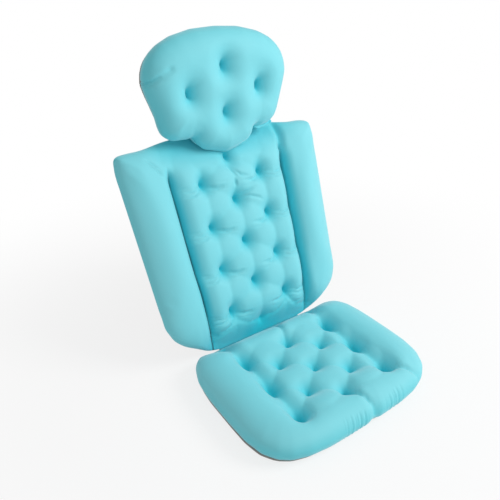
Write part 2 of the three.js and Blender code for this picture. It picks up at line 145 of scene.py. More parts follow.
def jerseyFinish():
    material, finish = newFinish("jersey")
    place = finish.add("Attribute", {"attribute_name": "plan"}, output=1)
    cloud = finish.noise(place, jersey["cloudScale"], 3)
    fuzz = finish.noise(place, jersey["fuzzScale"], 2)
    axes = finish.add("SeparateXYZ", None, {0: place}).socket.node.outputs
    columns, courses = Wire(finish, axes[0]), Wire(finish, axes[1])
    turn = 2 * math.pi / jersey["knitPitch"]
    wale = finish.add("Math", {"operation": "SINE"}, {0: columns * turn})
    lean = finish.add("Math", {"operation": "ABSOLUTE"}, {0: wale})
    course = finish.add("Math", {"operation": "SINE"}, {0: courses * turn + lean * jersey["knitLean"]})
    knit = wale * 0.5 + course * 0.5
    grain = cloud * (1 - jersey["fuzzShare"]) + fuzz * jersey["fuzzShare"]
    tone = finish.blendColours(grain, jersey["soft"], jersey["light"])
    # painted shade and painted slit shadow, blended over the cloth's own colour by fields made with the pads
    for field in ("hollow", "gap"):
        depth = finish.add("Attribute", {"attribute_name": field}, output=2)
        tone = finish.blendColours(depth, tone, jersey[field])
    bump = finish.add("Bump", None, {
        "Strength": jersey["knitStrength"], "Distance": jersey["knitDepth"], "Height": knit + fuzz})
    finish.surface({
        "Base Color": tone, "Roughness": jersey["roughness"] + fuzz * jersey["roughSpread"], "Normal": bump,
        "Specular IOR Level": jersey["specular"], "Sheen Weight": jersey["sheen"],
        "Sheen Roughness": jersey["sheenRoughness"]})
    return material


spacerMesh = {
    "thread": paint(0.70, 0.675, 0.66),
    "worn": paint(0.63, 0.605, 0.59),
    "hole": paint(0.47, 0.45, 0.44),
    "pitch": 0.0036,
    "unevenness": 0.12,
    "holeShare": 0.33,
    "holeRim": 0.1,
    "fibreScale": 420,
    "fibreHeight": 0.4,
    "cloudScale": 14,
    "depth": 0.0006,
    "strength": 0.7,
    "roughness": 0.8,
    "roughSpread": 0.15,
    "specular": 0.25,
    "sheen": 0.15,
}


def meshFinish():
    material, finish = newFinish("spacerMesh")
    place = finish.add("Attribute", {"attribute_name": "plan"}, output=1)
    cells = finish.add("TexVoronoi", {"voronoi_dimensions": "2D"}, {
        "Vector": place, "Scale": 1 / spacerMesh["pitch"], "Randomness": spacerMesh["unevenness"]})
    inHole = finish.add("MapRange", {"interpolation_type": "SMOOTHSTEP"}, {
        "Value": cells, "From Min": spacerMesh["holeShare"] + spacerMesh["holeRim"],
        "From Max": spacerMesh["holeShare"] - spacerMesh["holeRim"]})
    fibre = finish.noise(place, spacerMesh["fibreScale"], 3)
    cloud = finish.noise(place, spacerMesh["cloudScale"], 2)
    worn = finish.blendColours(fibre * 0.5 + cloud * 0.5, spacerMesh["worn"], spacerMesh["thread"])
    tone = finish.blendColours(inHole, worn, spacerMesh["hole"])
    bump = finish.add("Bump", None, {
        "Strength": spacerMesh["strength"], "Distance": spacerMesh["depth"],
        "Height": fibre * spacerMesh["fibreHeight"] - inHole})
    finish.surface({
        "Base Color": tone, "Roughness": spacerMesh["roughness"] + fibre * spacerMesh["roughSpread"],
        "Normal": bump, "Specular IOR Level": spacerMesh["specular"], "Sheen Weight": spacerMesh["sheen"]})
    return material


gripRubber = {
    "light": paint(0.68, 0.655, 0.64),
    "dark": paint(0.58, 0.555, 0.54),
    "speckScale": 260,
    "cloudScale": 12,
    "depth": 0.0004,
    "strength": 0.4,
    "roughness": 0.62,
    "roughSpread": 0.2,
    "specular": 0.35,
}


def gripFinish():
    material, finish = newFinish("gripRubber")
    place = finish.add("TexCoord", output=3)
    speck = finish.noise(place, gripRubber["speckScale"], 4)
    cloud = finish.noise(place, gripRubber["cloudScale"], 2)
    tone = finish.blendColours(speck * 0.5 + cloud * 0.5, gripRubber["dark"], gripRubber["light"])
    bump = finish.add("Bump", None, {
        "Strength": gripRubber["strength"], "Distance": gripRubber["depth"], "Height": speck})
    finish.surface({
        "Base Color": tone, "Roughness": gripRubber["roughness"] + cloud * gripRubber["roughSpread"],
        "Normal": bump, "Specular IOR Level": gripRubber["specular"]})
    return material


silicone = {
    "clear": paint(0.86, 0.89, 0.90),
    "milky": paint(0.78, 0.82, 0.84),
    "cloudScale": 60,
    "roughness": 0.2,
    "roughSpread": 0.15,
    "specular": 0.5,
    "transmission": 0.35,
    "ior": 1.41,
}


def siliconeFinish():
    material, finish = newFinish("silicone")
    place = finish.add("TexCoord", output=3)
    cloud = finish.noise(place, silicone["cloudScale"], 2)
    tone = finish.blendColours(cloud, silicone["milky"], silicone["clear"])
    finish.surface({
        "Base Color": tone, "Roughness": silicone["roughness"] + cloud * silicone["roughSpread"],
        "Specular IOR Level": silicone["specular"], "Transmission Weight": silicone["transmission"],
        "IOR": silicone["ior"]})
    return material


finishes = {
    "jersey": jerseyFinish(),
    "spacer_mesh": meshFinish(),
    "grip_base": gripFinish(),
    "silicone": siliconeFinish(),
}
print("finishes:", ", ".join(finishes))


# Frames of the pads: x across, y up the pad, z out of its padded side, origin on the rear of its panel

def nodePoints(name):
    return np.array([vertex.co for vertex in frame["nodes"][name].data.vertices])


def padBasis(panelNode, mountName):
    normal = -mountAxis[mountName].normalized()
    across = Vector((1, 0, 0))
    turn = Matrix((across, normal.cross(across), normal))
    points = nodePoints(panelNode) @ np.array(turn).T
    low, high = points.min(0), points.max(0)
    origin = Vector((0, (low[1] + high[1]) / 2, low[2]))
    basis = turn.transposed().to_4x4()
    basis.translation = turn.transposed() @ origin
    return basis


def toLocal(basis, points):
    turn = np.array(basis.to_3x3())
    return (points - np.array(basis.translation)) @ turn


def toWorld(basis, points):
    return points @ np.array(basis.to_3x3()).T + np.array(basis.translation)


def nodesLike(prefix):
    return sorted(name for name in frame["nodes"] if name.startswith(prefix))


coverLift = 0.0023          # the cover's thickness and a little air


# the cloth's lowest points, over the top of each tie
def tuftPlaces(prefix, basis):
    places = []
    for name in nodesLike(prefix):
        points = toLocal(basis, nodePoints(name))
        middle = (points.min(0) + points.max(0)) / 2
        places.append((middle[0], middle[1], points[:, 2].max() + coverLift))
    return np.array(places)


# a closed run of values, each averaged with its neighbours
def easedLoop(values, passes):
    for _ in range(passes):
        values = (np.roll(values, 1, axis=0) + 2 * values + np.roll(values, -1, axis=0)) / 4
    return values


outlineSteps = 720
outlinePasses = 12


# a node's outline seen along the pad's z, found by its reach from a centre in each direction
def outlineOf(node, basis, centre):
    mesh = frame["nodes"][node].data
    points = toLocal(basis, nodePoints(node))[:, :2] - centre
    pairs = np.array([edge.vertices[:] for edge in mesh.edges])
    start = points[pairs[:, 0]]
    edge = points[pairs[:, 1]] - start
    angles = np.arange(outlineSteps) / outlineSteps * 2 * math.pi - math.pi
    ways = np.stack([np.cos(angles), np.sin(angles)], 1)
    turn = ways[:, None, 0] * edge[None, :, 1] - ways[:, None, 1] * edge[None, :, 0]
    offset = ways[:, None, 1] * start[None, :, 0] - ways[:, None, 0] * start[None, :, 1]
    share = offset / np.where(np.abs(turn) < 1e-12, 1e-12, turn)
    hit = start[None] + share[..., None] * edge[None]
    reach = (hit * ways[:, None]).sum(2)
    reach = np.where((share >= 0) & (share <= 1), reach, 0).max(1)
    return centre + ways * easedLoop(reach, outlinePasses)[:, None]


def smooth(low, high, value):
    share = np.clip((value - low) / (high - low), 0, 1)
    return share * share * (3 - 2 * share)


def mix(first, second, share):
    return first + (second - first) * share


def roundRise(share):
    return np.sqrt(1 - (1 - np.clip(share, 0, 1)) ** 2)


def sineRise(share):
    return np.sin(share * math.pi / 2)


def lineDistance(points, start, end):
    start, end = np.asarray(start, float), np.asarray(end, float)
    edge = end - start
    share = np.clip(((points - start) @ edge) / (edge @ edge), 0, 1)
    return np.linalg.norm(points - start - share[:, None] * edge, axis=1)


def outlineDistance(points, outline):
    gaps = np.full(len(points), np.inf)
    for start, end in zip(outline, np.roll(outline, -1, axis=0)):
        gaps = np.minimum(gaps, lineDistance(points, start, end))
    return gaps


# Cloth skin: a grid stretched between four sides of the outline, then rings turned under to the hem

def sideOf(outline, centre, fromCorner, toCorner, axis, stations):
    angles = np.arctan2(outline[:, 1] - centre[1], outline[:, 0] - centre[0])
    first = math.atan2(fromCorner[1] - centre[1], fromCorner[0] - centre[0])
    last = math.atan2(toCorner[1] - centre[1], toCorner[0] - centre[0])
    span = (last - first) % (2 * math.pi)
    kept = outline[((angles - first) % (2 * math.pi)) <= span]
    kept = kept[np.argsort(kept[:, axis])]
    other = np.interp(stations, kept[:, axis], kept[:, 1 - axis])
    return np.stack([stations, other] if axis == 0 else [other, stations], 1)


def cornerOn(outline, guess):
    return outline[np.argmin(np.linalg.norm(outline - np.asarray(guess), axis=1))]


def stations(stops, spacing):
    runs = []
    for low, high in zip(stops, stops[1:]):
        count = max(2, round(abs(high - low) / spacing))
        runs.append(np.linspace(low, high, count, endpoint=False))
    return np.concatenate([*runs, [stops[-1]]])


def skinGrid(pad):
    outline, centre = pad["outline"], pad["centre"]
    x, yLow, yHigh = pad["corners"]
    lowLeft, lowRight = cornerOn(outline, (-x[0], yLow)), cornerOn(outline, (x[0], yLow))
    highRight, highLeft = cornerOn(outline, (x[1], yHigh)), cornerOn(outline, (-x[1], yHigh))
    seams = pad["seams"]
    spacing = pad["spacing"]
    lowStops = [lowLeft[0], 0, lowRight[0]]
    highStops = [highLeft[0], 0, highRight[0]]
    if seams:
        lowStops = [lowLeft[0], -seams[0], 0, seams[0], lowRight[0]]
        highStops = [highLeft[0], -seams[1], 0, seams[1], highRight[0]]
    lowX = stations(lowStops, spacing)
    highX = np.interp(lowX, lowStops, highStops)
    sideY = stations([lowLeft[1], highLeft[1]], spacing)
    bottom = sideOf(outline, centre, lowLeft, lowRight, 0, lowX)
    top = sideOf(outline, centre, highRight, highLeft, 0, highX)
    left = sideOf(outline, centre, highLeft, lowLeft, 1, sideY)
    right = sideOf(outline, centre, lowRight, highRight, 1, sideY)
    v = np.linspace(0, 1, len(sideY))[:, None, None]
    u = ((lowX - lowX[0]) / (lowX[-1] - lowX[0]))[None, :, None]
    plan = (1 - v) * bottom[None] + v * top[None] + (1 - u) * left[:, None] + u * right[:, None]
    corners = (1 - u) * (1 - v) * bottom[0] + u * (1 - v) * bottom[-1]
    return plan - (corners + (1 - u) * v * top[0] + u * v * top[-1])


def gridIndex(plan):
    return np.arange(plan.shape[0] * plan.shape[1]).reshape(plan.shape[:2])


def gridFaces(index):
    rows, columns = index.shape
    return [(index[j, i], index[j, i + 1], index[j + 1, i + 1], index[j + 1, i])
            for j in range(rows - 1) for i in range(columns - 1)]


def gridRim(index):
    return np.concatenate([index[0, :-1], index[:-1, -1], index[-1, :0:-1], index[:0:-1, 0]])


def bandFaces(first, second):
    steps = [(k, (k + 1) % len(first)) for k in range(len(first))]
    return [(first[k], first[after], second[after], second[k]) for k, after in steps]


clothForm = {
    "foldLip": 0.003,            # how far the hem stands back along a fold line
    "foldEase": (0.6, 1.4),      # shares of a fold's slope between which its pull dies out
    "inwardPasses": 6,
    "tuftSteepness": 0.95,
    "creaseRound": 1.4,
    "creaseAtEdge": 0.5,
}


def padSkin(pad):
    plan = skinGrid(pad)
    index = gridIndex(plan)
    flat = plan.reshape(-1, 2)
    inner = index[2:-2, 2:-2].ravel()
    for tuft in pad["tufts"]:                     # a corner of the grid on each tuft
        nearest = inner[np.argmin(np.linalg.norm(flat[inner] - tuft[:2], axis=1))]
        flat[nearest] = tuft[:2]
    height = clothHeight(pad, flat)
    points = [np.column_stack([flat, height])]
    faces = gridFaces(index)
    loop = gridRim(index)
    edge = flat[loop]
    along = np.roll(edge, -1, axis=0) - np.roll(edge, 1, axis=0)
    inward = np.stack([-along[:, 1], along[:, 0]], 1)
    inward /= np.linalg.norm(inward, axis=1)[:, None]
    inward = easedLoop(inward, clothForm["inwardPasses"])
    drawIn = mix(pad["drawIn"], clothForm["foldLip"], foldShare(pad, edge))
    hemPlace = edge + inward * drawIn[:, None]
    hemPlace[:, 1] = np.maximum(hemPlace[:, 1], pad["panelLow"] - clothForm["foldLip"])
    overhang = smooth(0, pad["drawIn"], np.linalg.norm(hemPlace - edge, axis=1) - drawIn)
    count = len(flat)
    ring = loop
    for step in range(1, pad["underRings"] + 1):
        share = step / pad["underRings"]
        turn = share * math.pi / 2
        place = mix(edge, hemPlace, mix(1 - math.cos(turn), share, overhang)[:, None])
        level = mix(height[loop], pad["hem"], mix(math.sin(turn), share, overhang))
        points.append(np.column_stack([place, level]))
        following = np.arange(count, count + len(loop))
        count += len(loop)
        faces += [(a, d, c, b) for a, b, c, d in bandFaces(ring, following)]
        ring = following
    return np.concatenate(points), faces, {"edge": loop, "hem": ring}


# 1 along a fold line, 0 where the edge is free
def foldShare(pad, points, band=None):
    share = np.zeros(len(points))
    for fold in pad["folds"]:
        away = (fold["at"] - points[:, 1]) * fold["way"]
        fade, near, far = band or (fold["fade"], *(fold["slope"] * part for part in clothForm["foldEase"]))
        across = 1 - smooth(fold["half"], fold["half"] + fade, np.abs(points[:, 0]))
        share = np.maximum(share, across * (1 - smooth(near, far, away)))
    return share


# Height of the cloth before it is blown up: the edge roll, folds, seams, tufts and creases
def clothHeight(pad, points):
    gap = outlineDistance(points, pad["outline"])
    edge = roundRise(gap / pad["roll"])
    crown = pad["crown"] - pad["fieldSag"] * smooth(pad["roll"], 2 * pad["roll"], gap)
    height = mix(pad["side"], crown, edge)
    for line in pad["folds"]:
        away = np.clip((line["at"] - points[:, 1]) * line["way"] / line["slope"], 0, 1)
        across = 1 - smooth(line["half"], line["half"] + line["fade"], np.abs(points[:, 0]))
        height = mix(height, line["height"], across * (1 - sineRise(away)))
    if pad["seams"]:
        height = mix(height, np.minimum(height, pad["seamFloor"]), seamPull(pad, points))
    slit = np.array((0, pad["tuftSlit"]))
    near = np.stack([lineDistance(points, tuft[:2] - slit, tuft[:2] + slit) for tuft in pad["tufts"]], 1)
    floor = np.minimum(height, pad["tufts"][near.argmin(1), 2] - pad["tuftDrop"])
    share = np.clip(near / pad["tuftReach"], 0, 1)
    pits = mix(sineRise(share), roundRise(share), clothForm["tuftSteepness"]).prod(1)
    height = mix(floor, height, pits * bubbles(pad, points))
    valley = np.zeros(len(points))
    for crease in pad["creases"]:
        away = np.clip(lineDistance(points, crease["from"], crease["to"]) / crease["reach"], 0, 1)
        lift = roundRise(away) if crease["sharp"] else sineRise(away) ** clothForm["creaseRound"]
        valley = np.maximum(valley, crease["depth"] * (1 - lift))
    return np.maximum(height - valley * np.maximum(edge, clothForm["creaseAtEdge"]), floor)


# Puffs of filling between the tufts: round domes that meet in valleys, and the smooth rolls beside them
def bubbles(pad, points):
    lift = pad["beside"](points)
    for x, y, across, along, share in pad["puffs"]:
        spread = ((points[:, 0] - x) / across) ** 2 + ((points[:, 1] - y) / along) ** 2
        lift = np.maximum(lift, share * np.sqrt(np.clip(1 - spread, 0, 1)))
    return lift


def seamAt(pad, y):
    low, high = pad["bottom"], pad["top"]
    return mix(pad["seams"][0], pad["seams"][1], (y - low) / (high - low))


def seamPull(pad, points):
    off = np.abs(points[:, 0]) - seamAt(pad, points[:, 1])
    away = np.where(off > 0, off / pad["seamReach"][0], -off / pad["seamReach"][1])
    return (1 - roundRise(away)) * seamEnds(pad, points[:, 1])


# 1 along a seam, dying out towards its upper end
def seamEnds(pad, y):
    end = pad["top"] - pad["seamShort"]
    return 1 - smooth(end - pad["seamFade"], end, y)


def seamGap(pad, points):
    return np.abs(np.abs(points[:, 0]) - seamAt(pad, points[:, 1]))


def tuftGap(pad, points):
    return np.linalg.norm(points[:, None, :2] - pad["tufts"][None, :, :2], axis=2).min(1)


def meshObject(name, points, faces, basis):
    mesh = bpy.data.meshes.new(name)
    mesh.from_pydata(toWorld(basis, points).tolist(), [], [tuple(int(k) for k in face) for face in faces])
    mesh.validate()
    piece = bpy.data.objects.new(name, mesh)
    bpy.context.scene.collection.objects.link(piece)
    return piece


def meshPoints(mesh):
    points = np.zeros(len(mesh.vertices) * 3, np.float32)
    mesh.vertices.foreach_get("co", points)
    return points.reshape(-1, 3).astype(float)


cloth = {
    "quality": 6,
    "mass": 0.3,
    "airDamping": 1,
    "stretch": 3,
    "shear": 1.5,
    "bend": 0.5,
    "pressure": 10,
    "frames": 24,
    "cap": 0.02,
    "easePasses": 5,
}


# Cloth sewn down at the hem, tufts, seams and folds, and blown up from inside
def inflate(piece, basis, sewn, free, calm):
    group = piece.vertex_groups.new(name="sewn")
    for weight in np.unique(sewn[sewn > 0]):
        group.add(np.flatnonzero(sewn == weight).tolist(), float(weight), "REPLACE")
    modifier = piece.modifiers.new("cloth", "CLOTH")
    settings = modifier.settings
    settings.quality = cloth["quality"]
    settings.mass = cloth["mass"]
    settings.air_damping = cloth["airDamping"]
    settings.tension_stiffness = settings.compression_stiffness = cloth["stretch"]
    settings.shear_stiffness = cloth["shear"]
    settings.bending_stiffness = cloth["bend"]
    settings.vertex_group_mass = "sewn"
    settings.pin_stiffness = 1
    settings.vertex_group_shrink = "sewn"         # nothing shrinks: spring lengths are taken anew each frame
    settings.use_pressure = True
    settings.uniform_pressure_force = cloth["pressure"]
    settings.effector_weights.gravity = 0
    modifier.collision_settings.use_collision = False
    modifier.collision_settings.use_self_collision = False
    modifier.point_cache.frame_start = 1
    modifier.point_cache.frame_end = cloth["frames"]
    start = meshPoints(piece.data)
    for step in range(1, cloth["frames"] + 1):
        bpy.context.scene.frame_set(step)
    result = piece.evaluated_get(bpy.context.evaluated_depsgraph_get())
    end = meshPoints(result.data)
    piece.modifiers.remove(modifier)
    piece.vertex_groups.clear()
    bpy.context.scene.frame_set(1)
    move = (end - start) @ np.array(basis.to_3x3())
    move[:, :2] *= free[:, None]
    move *= 1 - calm[:, None]
    move = eased(piece.data, move) @ np.array(basis.to_3x3()).T
    length = np.linalg.norm(move, axis=1)
    capped = move * (np.minimum(length, cloth["cap"]) / np.maximum(length, 1e-9))[:, None]
    piece.data.vertices.foreach_set("co", (start + capped).astype(np.float32).ravel())
    print("  ", piece.name, "swelled by up to", round(float(length.max()) * 1000, 1), "mm")


# a field over the points averaged with its neighbours, which takes the flutter out of the cloth's movement
def eased(mesh, field):
    pairs = np.array([edge.vertices[:] for edge in mesh.edges])
    count = np.bincount(pairs.ravel(), minlength=len(field))[:, None]
    for _ in range(cloth["easePasses"]):
        around = np.zeros_like(field)
        np.add.at(around, pairs[:, 0], field[pairs[:, 1]])
        np.add.at(around, pairs[:, 1], field[pairs[:, 0]])
        field = (field + around / count) / 2
    return field


def subdivide(piece):
    modifier = piece.modifiers.new("fine", "SUBSURF")
    modifier.levels = modifier.render_levels = 1
    fine = bpy.data.meshes.new_from_object(piece.evaluated_get(bpy.context.evaluated_depsgraph_get()))
    piece.modifiers.remove(modifier)
    old = piece.data
    piece.data = fine
    bpy.data.meshes.remove(old)


def closeUnder(piece):
    shape = bmesh.new()
    shape.from_mesh(piece.data)
    rim = [edge for edge in shape.edges if edge.is_boundary]
    bmesh.ops.holes_fill(shape, edges=rim, sides=0)
    shape.to_mesh(piece.data)
    shape.free()


def dress(piece, slot, basis=None):
    if basis is not None:
        plan = piece.data.attributes.new("plan", "FLOAT_VECTOR", "POINT")
        local = toLocal(basis, meshPoints(piece.data))
        plan.data.foreach_set("vector", local.astype(np.float32).ravel())
    piece.data.materials.clear()
    piece.data.materials.append(finishes[slot])
    piece.data.polygons.foreach_set("use_smooth", [True] * len(piece.data.polygons))


def addField(piece, name, values):
    field = piece.data.attributes.new(name, "FLOAT", "POINT")
    field.data.foreach_set("value", values.astype(np.float32))


sewing = {
    "tack": np.array([0.0035, 0.0065]),      # half width and height of a tuft's tack
    "creaseBand": 0.6,                       # in steps of the grid
    "seamBand": 0.3,
    "seamEnd": 0.5,                          # share of the seam's fade that is still sewn
    "foldHold": 0.6,
}


# how firmly each point is held while the cloth is blown up
def sewnPoints(pad, points, marks):
    local = points[:, :2]
    sewn = np.zeros(len(points))
    top = np.arange(len(points)) < marks["edge"].max() + 1
    for crease in pad["creases"]:
        band = sewing["creaseBand"] * pad["spacing"]
        close = lineDistance(local, crease["from"], crease["to"]) < band
        sewn[close & top] = np.maximum(sewn[close & top], crease["hold"])
    for tuft in pad["tufts"]:
        away = (local - tuft[:2]) / sewing["tack"]
        sewn[(np.linalg.norm(away, axis=1) < 1) & top] = 1
    if pad["seams"]:
        end = pad["top"] - pad["seamShort"] - sewing["seamEnd"] * pad["seamFade"]
        close = seamGap(pad, local) < sewing["seamBand"] * pad["spacing"]
        sewn[close & (local[:, 1] < end) & top] = 1
    edge = marks["edge"]
    sewn[edge[foldShare(pad, local[edge]) > sewing["foldHold"]]] = 1
    sewn[marks["hem"]] = 1
    return sewn


def pushOut(piece, points, lift):
    normals = np.zeros(len(points) * 3, np.float32)
    piece.data.vertices.foreach_get("normal", normals)
    points += normals.reshape(-1, 3) * lift[:, None]
    piece.data.vertices.foreach_set("co", points.astype(np.float32).ravel())


gathers = {
    "endFade": 0.3,
    "sideFade": 0.4,
    "sway": 1.3,
    "swayPitch": 0.43,
    "drift": 40,
    "least": 0.6,
    "unevenPitch": 0.61,
    "unevenDrift": 60,
}


# Fine folds in the cloth, raised on the finished skin: lines at an angle, dying out along and across them
def wrinkle(piece, pad):
    points = meshPoints(piece.data)
    local = toLocal(pad["basis"], points)
    lift = np.zeros(len(points))
    for fold in pad["wrinkles"]:
        angle = math.radians(fold["angle"])
        away = local[:, :2] - np.array(fold["at"])
        along = away @ np.array((math.cos(angle), math.sin(angle)))
        across = away @ np.array((-math.sin(angle), math.cos(angle)))
        fade = 1 - smooth(gathers["endFade"], 1, np.abs(along) / fold["length"] * 2)
        fade = fade * (1 - smooth(gathers["sideFade"], 1, np.abs(across) / fold["width"] * 2))
        turns = 2 * math.pi * across / fold["pitch"]
        sway = gathers["sway"] * np.sin(gathers["swayPitch"] * turns + 1)
        wave = np.cos(turns + sway + gathers["drift"] * along)
        swell = np.sin(gathers["unevenPitch"] * turns + 2 + gathers["unevenDrift"] * along)
        uneven = gathers["least"] + (1 - gathers["least"]) * swell
        lift += fold["depth"] * fade * uneven * (wave - 1) / 2
    pushOut(piece, points, lift)


# Single folds drawn along lines, deepest at their middle
def drawFolds(piece, pad):
    points = meshPoints(piece.data)
    local = toLocal(pad["basis"], points)[:, :2]
    line = pad["line"]
    lift = np.zeros(len(points))
    for run in pad["lines"]:
        run = [np.array(place, float) for place in run]
        spans = [np.linalg.norm(end - start) for start, end in zip(run, run[1:])]
        gap, along = np.full(len(points), np.inf), np.zeros(len(points))
        done = 0
        for start, end, span in zip(run, run[1:], spans):
            away = lineDistance(local, start, end)
            share = np.clip((local - start) @ (end - start) / span ** 2, 0, 1)
            along = np.where(away < gap, (done + share * span) / sum(spans), along)
            gap = np.minimum(gap, away)
            done += span
        groove = 1 - smooth(0, line["reach"], gap)
        lift = np.minimum(lift, -line["depth"] * groove * np.sin(math.pi * np.clip(along, *line["ends"])))
    pushOut(piece, points, lift)


shade = {
    "hollowReach": 0.080,
    "flank": 0.60,                # painted shade between the tufts, against 1 on them
    # painted shade along the seams, and the band of the painted slit shadow
    "seamTint": (0.002, 0.018),
    "seamFull": 0.75,
    "seamSlit": (0.0005, 0.0035),
    "rightSlit": 0.5,             # the right channel is the more open one, so its painted slit shadow is half as dark
}


# painted shade: the colour turns fuller and darker where the cloth lies deep, around the tufts, on the
# flanks and along the seams, in place of the shade that falls there
def paintedShadeShare(pad, points):
    local = toLocal(pad["basis"], points)
    near = 1 - smooth(0.5 * shade["hollowReach"], shade["hollowReach"], tuftGap(pad, local))
    deep = 1 - smooth(pad["tufts"][0, 2], pad["crown"] - pad["fieldSag"], local[:, 2])
    share = deep * mix(shade["flank"], 1, near)
    if pad["seams"]:
        seamShade = shade["seamFull"] * (1 - smooth(*shade["seamTint"], seamGap(pad, local)))
        share = np.maximum(share, seamShade * seamEnds(pad, local[:, 1]))
    return share


# painted shadow: a dark line along the slit at the bottom of a stitched channel
def slitShadowShare(pad, points):
    local = toLocal(pad["basis"], points)
    if not pad["seams"]:
        return np.zeros(len(points))
    slit = (1 - smooth(*shade["seamSlit"], seamGap(pad, local))) * seamEnds(pad, local[:, 1])
    return slit * np.where(local[:, 0] < 0, 1, shade["rightSlit"])


edgeFreedom = 0.15                  # share of the sideways swelling that the edge keeps
calmBand = (0.14, 0.02, 0.20)       # fade past a fold's ends, and start and end of the fade away from it


def makePad(name, pad):
    points, faces, marks = padSkin(pad)
    piece = meshObject(name, points, faces, pad["basis"])
    free = mix(edgeFreedom, 1, smooth(0, pad["roll"], outlineDistance(points[:, :2], pad["outline"])))
    calm = pad["foldCalm"] * foldShare(pad, points, calmBand)
    inflate(piece, pad["basis"], sewnPoints(pad, points, marks), free, calm)
    subdivide(piece)
    wrinkle(piece, pad)
    if pad["lines"]:
        drawFolds(piece, pad)
    closeUnder(piece)
    dress(piece, "jersey", pad["basis"])
    # painted shade and painted slit shadow, stored on the cloth for its finish
    for field, share in {"hollow": paintedShadeShare, "gap": slitShadowShare}.items():
        addField(piece, field, share(pad, meshPoints(piece.data)))
    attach(piece, pad["body"])
    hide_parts(*pad["stands"])
    print("pad", name, "made of", len(piece.data.polygons), "faces")
    return piece


def creaseRun(places, depth, reach, sharp=False, hold=0):
    return [{"from": start, "to": end, "depth": depth, "reach": reach, "sharp": sharp, "hold": hold}
            for start, end in zip(places, places[1:])]


def nickOutline(outline, nicks):
    for nick in nicks:
        away = np.linalg.norm(outline - cornerOn(outline, nick["at"]), axis=1)
        outline += (nick["depth"] * (1 - smooth(0, nick["reach"], away)))[:, None] * np.array(nick["way"])


sharedByPads = {
    "spacing": 0.004,
    "fieldSag": 0,
    "tuftDrop": 0,
    "drawIn": 0.017,
    "hem": 0.0063,
    "seams": None,
    "folds": (),
    "foldCalm": 0,
    "fuller": [],
    "panelShift": (0, 0),
    "fill": 0.8,
}


def settle(ownValues):
    pad = {**sharedByPads, **ownValues}
    pad["basis"] = padBasis(pad["panel"], pad["mount"])
    pad["tufts"] = tuftPlaces(pad["ties"], pad["basis"])
    pad["centre"] = pad["tufts"][:, :2].mean(0)
    pad["outline"] = outlineOf(pad["cover"], pad["basis"], pad["centre"])
    pad["bottom"], pad["top"] = pad["outline"][:, 1].min(), pad["outline"][:, 1].max()
    pad["panelLow"] = toLocal(pad["basis"], nodePoints(pad["panel"]))[:, 1].min()
    for fold in pad["folds"]:
        points = toLocal(pad["basis"], nodePoints(fold["roll"]))
        fold["half"] = points[:, 0].max()
        fold["at"] = pad["top"] if fold["way"] > 0 else pad["bottom"]
    pad["outline"][:, 1] += sum(fold["way"] * fold["reachOver"] * foldShare(pad, pad["outline"])
                                * (fold["way"] * (pad["outline"][:, 1] - pad["centre"][1]) > 0)
                                for fold in pad["folds"])
    nickOutline(pad["outline"], pad["nicks"] + pad["fuller"])
    pad["stands"] = [pad["cover"], *pad["fillings"], *nodesLike(pad["ties"])]
    pad["creases"] = []
    pad["lines"] = []
    pad["puffs"] = []
    pad["beside"] = lambda points: np.ones(len(points))
    return pad


# Seat

seatPuff = {"reach": 1.15, "share": 1.0, "valley": 0.54, "rollReach": 0.05}
seatPad = settle({
    "cover": "seat_cover",
    "fillings": ["seat_filling"],
    "ties": "seat_tuft_tie",
    "panel": "seat_grip_base",
    "mount": "seat_base",
    "body": "seat",
    "corners": ((0.196, 0.186), -0.150, 0.165),
    "crown": 0.070,
    "side": 0.036,
    "roll": 0.056,
    "fieldSag": 0.010,
    "tuftReach": 0.036,
    "tuftSlit": 0.004,
    "tuftDrop": -0.002,
    "underRings": 7,
    "folds": [dict(roll="hinge_roll", way=1, height=0.012, slope=0.085, fade=0.100, reachOver=0.003)],
    "panelShift": (-0.004, 0.004),
    "nicks": [dict(at=(0.017, -0.190), depth=0.005, reach=0.020, way=(0, 1))],
    "foldCalm": 0.6,
    "wrinkles": [
        dict(at=(-0.036, -0.187), angle=84, length=0.030, width=0.090, pitch=0.0068, depth=0.0020),
        dict(at=(0.072, -0.186), angle=98, length=0.030, width=0.076, pitch=0.0074, depth=0.0018),
    ],
})
seatColumns = np.unique(seatPad["tufts"][:, 0].round(4))
seatRows = np.unique(seatPad["tufts"][:, 1].round(4))
seatPitch = np.array((seatColumns[1] - seatColumns[0], seatRows[1] - seatRows[0]))
seatPad["puffs"] = [(x, y, *(seatPuff["reach"] * seatPitch), seatPuff["share"])
                    for i, x in enumerate(seatColumns) for j, y in enumerate(seatRows) if (i + j) % 2]


def besideSeatField(points):
    out = np.maximum(np.abs(points[:, 0]) - seatColumns[-1], 0)
    fore = np.maximum(np.maximum(seatRows[0] - points[:, 1], points[:, 1] - seatRows[-1]), 0)
    return mix(seatPuff["valley"], 1, roundRise(np.hypot(out, fore) / seatPuff["rollReach"]))


seatPad["beside"] = besideSeatField
for column in (seatColumns[0], seatColumns[-1]):       # from the ends of the hinge down the outer tufts
    hingeEnd = (math.copysign(seatPad["folds"][0]["half"], column), seatPad["top"])
    outerTufts = [(column, seatRows[row]) for row in (4, 2, 0)]
    seatPad["creases"] += creaseRun([hingeEnd, *outerTufts], depth=0.014, reach=0.032)
seatPad["creases"] += creaseRun(                       # rear, front and front corner
    [(0.030, seatPad["top"]), (0, seatRows[4])], depth=0.012, reach=0.016, sharp=True, hold=0.9)
seatPad["creases"] += creaseRun(
    [(0, seatRows[0]), (0.010, -0.150), (0.017, seatPad["bottom"] + 0.004)],
    depth=0.018, reach=0.013, sharp=True, hold=0.9)
seatPad["creases"] += creaseRun(
    [(seatColumns[-1], seatRows[0]), (0.158, seatPad["bottom"] + 0.018)],
    depth=0.016, reach=0.013, sharp=True, hold=0.9)

# Back

